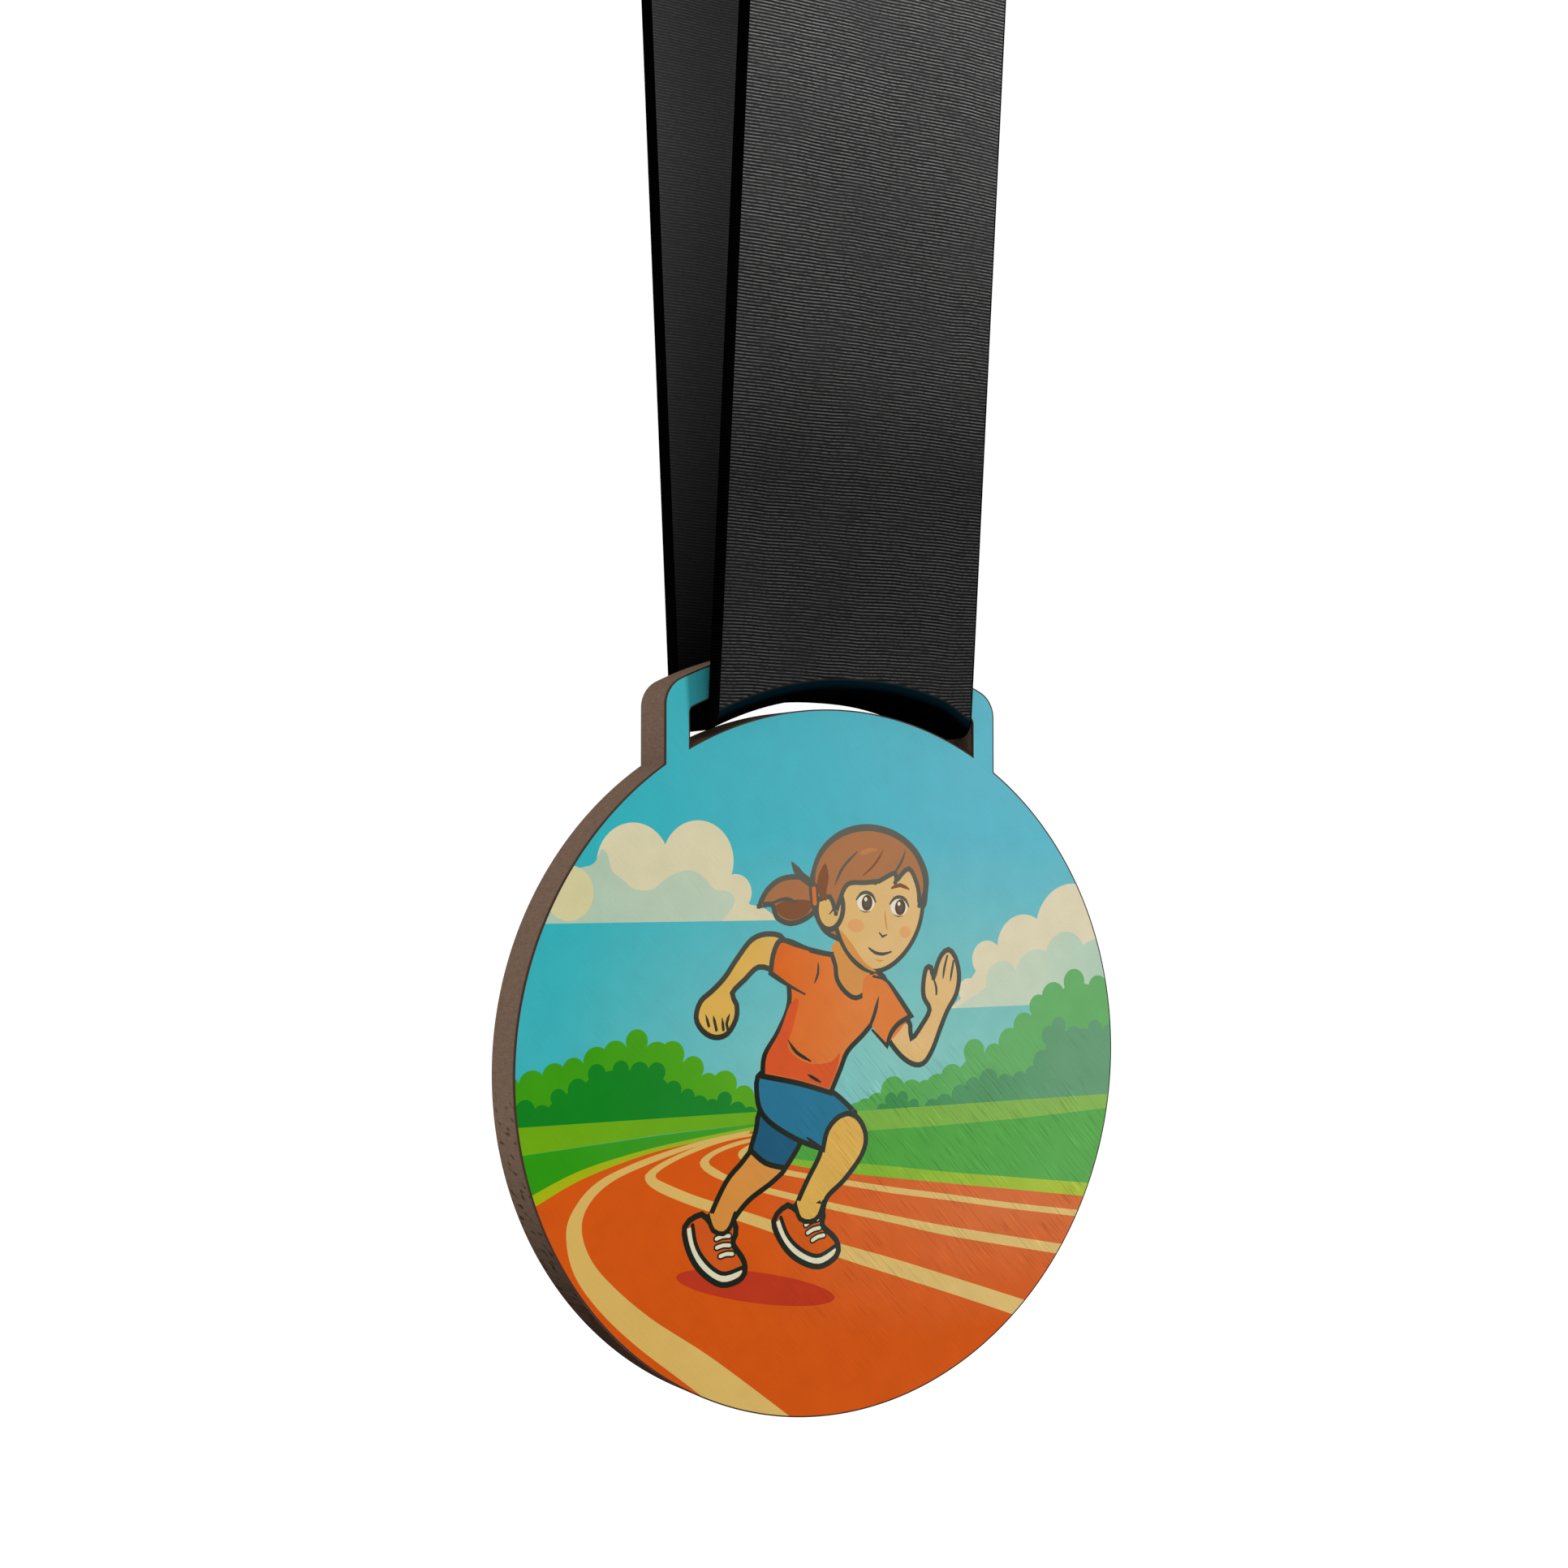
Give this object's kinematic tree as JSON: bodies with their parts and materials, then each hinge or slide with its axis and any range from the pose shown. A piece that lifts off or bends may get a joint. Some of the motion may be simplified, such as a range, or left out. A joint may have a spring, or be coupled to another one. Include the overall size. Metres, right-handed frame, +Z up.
{
  "type": "sports finisher medal",
  "caption": "Round printed fibreboard medal with a slotted hanger, held up by a taut black woven ribbon loop that lets it swing, twist and slip sideways.",
  "frame": {"origin": "where the ribbon's loop rests on what it hangs from: the underside of its top bend, on the board's middle plane and the ribbon's centre line", "axes": "+Z up the ribbon, -Y the printed front, +X to the right seen from the front"},
  "size_m": [0.05, 0.0205, 0.124],
  "materials": {
    "fibreboard": "bare laser-cut fibreboard, browned along the cut edge",
    "printed_film": "satin full-colour print with fine diagonal hatching",
    "woven_ribbon": "matt black ribbed weave",
    "sewing_thread": "black spun thread"
  },
  "bodies": {
    "neck_loop": {"ribbon_top_loop": "woven_ribbon", "ribbon_lap_end": "woven_ribbon", "seam_stitch_lower": "sewing_thread", "seam_stitch_upper": "sewing_thread"},
    "lower_ribbon": {"ribbon_front_strand": "woven_ribbon", "ribbon_rear_strand": "woven_ribbon"},
    "ribbon_bight": {"ribbon_bight": "woven_ribbon"},
    "medal": {"medal_blank": "fibreboard", "printed_face": "printed_film"}
  },
  "joints": [
    {"name": "medal_twist", "type": "hinge", "parent": "neck_loop", "child": "lower_ribbon", "pos_m": [0, 0, -0.03556], "axis": [0, 0, 1], "range_deg": [-45, 45]},
    {"name": "medal_swing", "type": "hinge", "parent": "lower_ribbon", "child": "ribbon_bight", "pos_m": [0, 0, -0.07106], "axis": [1, 0, 0], "range_deg": [-45, 45]},
    {"name": "side_play", "type": "slide", "parent": "ribbon_bight", "child": "medal", "axis": [1, 0, 0], "range_m": [-0.0007, 0.0007]}
  ]
}
